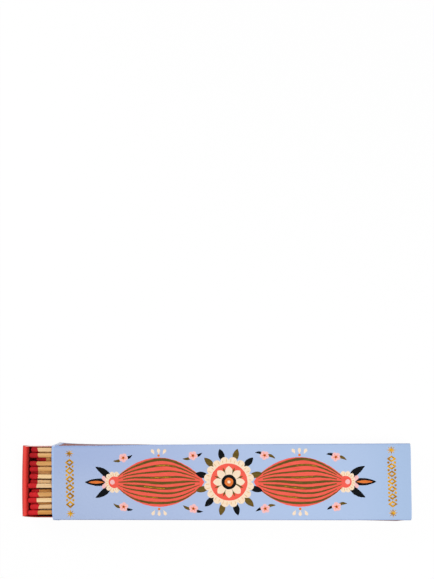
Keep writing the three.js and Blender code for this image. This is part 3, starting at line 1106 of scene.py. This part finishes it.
def match_rings(index, length, coat, slant, tongue):
    """A match along +X from its tip, as rings, and how many are its head's. Angle 0 is its +Y side."""
    seed = index * 7.3
    bow_y, bow_z = 0.1 * math.sin(seed * 3.1), 0.05 * math.sin(seed * 1.3)
    rings = []

    def coat_end(angle):
        wobble = COAT_WOBBLE * soft_noise(math.cos(angle) * 1.1 + seed, math.sin(angle) * 1.1, index)
        on_edge = abs(math.sin(2 * angle)) ** 2
        return coat - slant / 2 * math.cos(angle) + tongue * (on_edge - 0.5) + wobble

    tip = [0.03, 0.15, 0.4, 0.8, 1.3, HEAD_TIP]
    for x in tip + [HEAD_TIP + (coat - HEAD_TIP) * share for share in (0.25, 0.5, 0.7, 0.85, 0.94, 0.985)]:
        ring = []
        share = max(0, (x - HEAD_TIP) / (coat - HEAD_TIP))
        for angle in RING:
            lump = 1 + HEAD_LUMPS * soft_noise(x * 0.6 + seed, math.cos(angle) * 1.3, math.sin(angle) * 1.3)
            square = 2.3 + 3.4 * max(0, share - 0.2) ** 1.5
            y, z = ring_point(angle, head_half(x, coat) * min(lump, 1.02), square)
            ring.append((x + share * (coat_end(angle) - coat), y, z))
        rings.append(ring)
    head_rings = len(rings)
    stick = STICK_WIDTH / 2
    for extra in (0.0, 0.5):
        rings.append([(coat_end(a) + 0.06 + extra, *ring_point(a, stick, STICK_SQUARENESS)) for a in RING])
    for x in spread(coat + 3, length, STICK_STEP):
        bow = math.sin(math.pi * x / length)
        thin = stick * (1 + 0.012 * soft_noise(x * 0.02, seed))
        points = [ring_point(a, thin, STICK_SQUARENESS) for a in RING]
        rings.append([(x, y + bow_y * bow, z + bow_z * bow) for y, z in points])
    return rings, head_rings


def match_frame(name):
    """The turn and place of a match of the frame, from the middles of its two ends, and its length."""
    points = node_points(name)
    low, high = points[:, 0].min(), points[:, 0].max()
    tip = Vector(points[points[:, 0] < low + 0.2].mean(axis=0))
    tail = Vector(points[points[:, 0] > high - 0.5].mean(axis=0))
    along = (tail - tip).normalized()
    across = Vector((0, 0, 1)).cross(along).normalized()
    turn = Matrix((along, across, along.cross(across))).transposed()
    return turn, tip, (tail - tip).length


def hidden_match(index):
    """The coat and tone of a match that isn't in VISIBLE_MATCHES."""
    coat = COAT_LENGTH + 0.5 * math.sin(index * 7.3)
    slant = 0.5 * math.sin(index * 3.7)
    return coat, slant, 0.1, (index * 7 + index // 5) % len(WOOD_TONES)


def make_match(index, name, head, woods):
    """One match of the frame as a square stick with a dipped head."""
    turn, tip, length = match_frame(name)
    coat, slant, tongue, tone = VISIBLE_MATCHES.get(name) or hidden_match(index)
    rings, head_rings = match_rings(index, length, coat, slant, tongue)
    count = len(RING)
    points = [tip + turn @ Vector(p) for ring in rings for p in ring]
    faces, finishes = [], []
    for i in range(len(rings) - 1):
        for k in range(count):
            a, b = i * count + k, i * count + (k + 1) % count
            faces.append((a + count, b + count, b, a))
            finishes.append(0 if i < head_rings else 1)
    faces += [tuple(range(count)), tuple(range(len(points) - count, len(points)))[::-1]]
    finishes += [0, 1]
    sheet = Sheet()
    sheet.add(points, faces, finishes)
    piece = sheet.make("wooden_" + name, [head, woods[tone]])
    smooth(piece, 40)
    return piece


# Stage


def seen_by_eye(nodes):
    """1 for camera, glossy and transmission rays, which see the background as white."""
    path = nodes.node("LightPath").outputs
    seen = nodes.maths("MAXIMUM", path["Is Camera Ray"], path["Is Glossy Ray"])
    return nodes.maths("MAXIMUM", seen, path["Is Transmission Ray"])


def show(nodes, lit, seen, share, output):
    """Sends to the output what lights the object, mixed by this share with what is seen instead."""
    mix = nodes.node("MixShader")
    for source, socket in zip((share, lit.outputs[0], seen.outputs[0]), mix.inputs):
        nodes.link(source, socket)
    nodes.link(mix.outputs[0], nodes.node(output).inputs["Surface"])


def floor_fade(nodes):
    """How much of the floor's glow is seen: less by the object, where its shadow shows, and all far off."""
    far = nodes.node("VectorMath")
    far.operation = "LENGTH"
    nodes.link(nodes.node("TexCoord").outputs["Object"], far.inputs[0])
    fade = nodes.node("MapRange")
    nodes.link(far.outputs["Value"], fade.inputs["Value"])
    for name, value in FLOOR_FADE.items():
        fade.inputs[name].default_value = value
    return nodes.times(seen_by_eye(nodes), fade.outputs["Result"])


def floor_finish():
    """A pale floor that the camera sees as white."""
    material = bpy.data.materials.new("floor")
    nodes = Nodes(material)
    surface = nodes.node("BsdfDiffuse")
    surface.inputs["Color"].default_value = FLOOR_GREY
    glow = nodes.node("Emission")
    glow.inputs["Strength"].default_value = FLOOR_GLOW
    show(nodes, surface, glow, floor_fade(nodes), "OutputMaterial")
    return material


def make_floor():
    bpy.ops.mesh.primitive_plane_add(size=FLOOR_SIZE)
    floor = bpy.context.object
    floor.name = "floor"
    floor.data.materials.append(floor_finish())


def make_world():
    """Even light from all round, seen as white."""
    world = bpy.data.worlds.new("studio")
    bpy.context.scene.world = world
    nodes = Nodes(world)
    backgrounds = [nodes.node("Background"), nodes.node("Background")]
    for background, strength in zip(backgrounds, (WORLD_LIGHT, 1)):
        background.inputs["Color"].default_value = (1, 1, 1, 1)
        background.inputs["Strength"].default_value = strength
    show(nodes, *backgrounds, seen_by_eye(nodes), "OutputWorld")


def add_lamp(name, place, target, size, power):
    """A square soft lamp, in metres and watts."""
    lamp = bpy.data.lights.new(name, "AREA")
    lamp.size = size
    lamp.energy = power
    thing = bpy.data.objects.new(name, lamp)
    bpy.context.scene.collection.objects.link(thing)
    thing.location = place
    thing.rotation_euler = (Vector(target) - Vector(place)).to_track_quat("-Z", "Y").to_euler()


def make_camera():
    """The camera that gives the photograph's view."""
    data = bpy.data.cameras.new("camera")
    data.lens = CAMERA_LENS
    data.sensor_width = CAMERA_SENSOR
    data.shift_y = CAMERA_SHIFT
    data.clip_start = 0.01
    camera = bpy.data.objects.new("camera", data)
    bpy.context.scene.collection.objects.link(camera)
    camera.location = CAMERA_PLACE
    camera.rotation_euler = [math.radians(a) for a in CAMERA_TURN]
    bpy.context.scene.camera = camera


bpy.context.scene.view_settings.view_transform = "Standard"
make_camera()
make_world()
make_floor()
add_lamp("key", place=(0.13, -0.06, 0.62), target=(0.09, 0, 0), size=0.3, power=2.35)
add_lamp("side", place=(-0.42, 0.32, 0.36), target=(-0.1, 0, 0), size=0.3, power=0.9)

sleeve_finishes = [
    printed_ground(),
    painted_ink("coral_ink", "f76455", "ea5848", 0.9),
    painted_ink("olive_ink", "5a4b20", "80642c", 0.8),
    painted_ink("cream_ink", "fae4cd", "f4d3a8", 0.7, lengthways=False),
    painted_ink("cream_shade_ink", "e9bf8a", "dba768", 0.8, lengthways=False),
    painted_ink("black_ink", "06080a", "14171b", 0.6),
    painted_ink("pink_ink", "f8c4c2", "f2b0ae", 0.7, lengthways=False),
    painted_ink("orange_ink", "eb823c", "d9662c", 0.8),
    gold_foil(),
    raw_board("sleeve_board", "d8d2c6", "c9c1b2"),
    raw_board("sleeve_edge", "f8f7fb", "e6e6f0"),
]
sleeve = make_sleeve(sleeve_finishes)
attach(sleeve, "sleeve")
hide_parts("sleeve")

tray = make_tray([red_card(), tray_edge()])
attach(tray, "tray")
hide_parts("tray")

wood_finishes = [match_wood(i, light, dark) for i, (light, dark) in enumerate(WOOD_TONES)]
head_finish = match_head()
for index, name in enumerate(sorted(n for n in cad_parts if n.startswith("match_"))):
    match = make_match(index, name, head_finish, wood_finishes)
    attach(match, "tray")
    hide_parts(name)
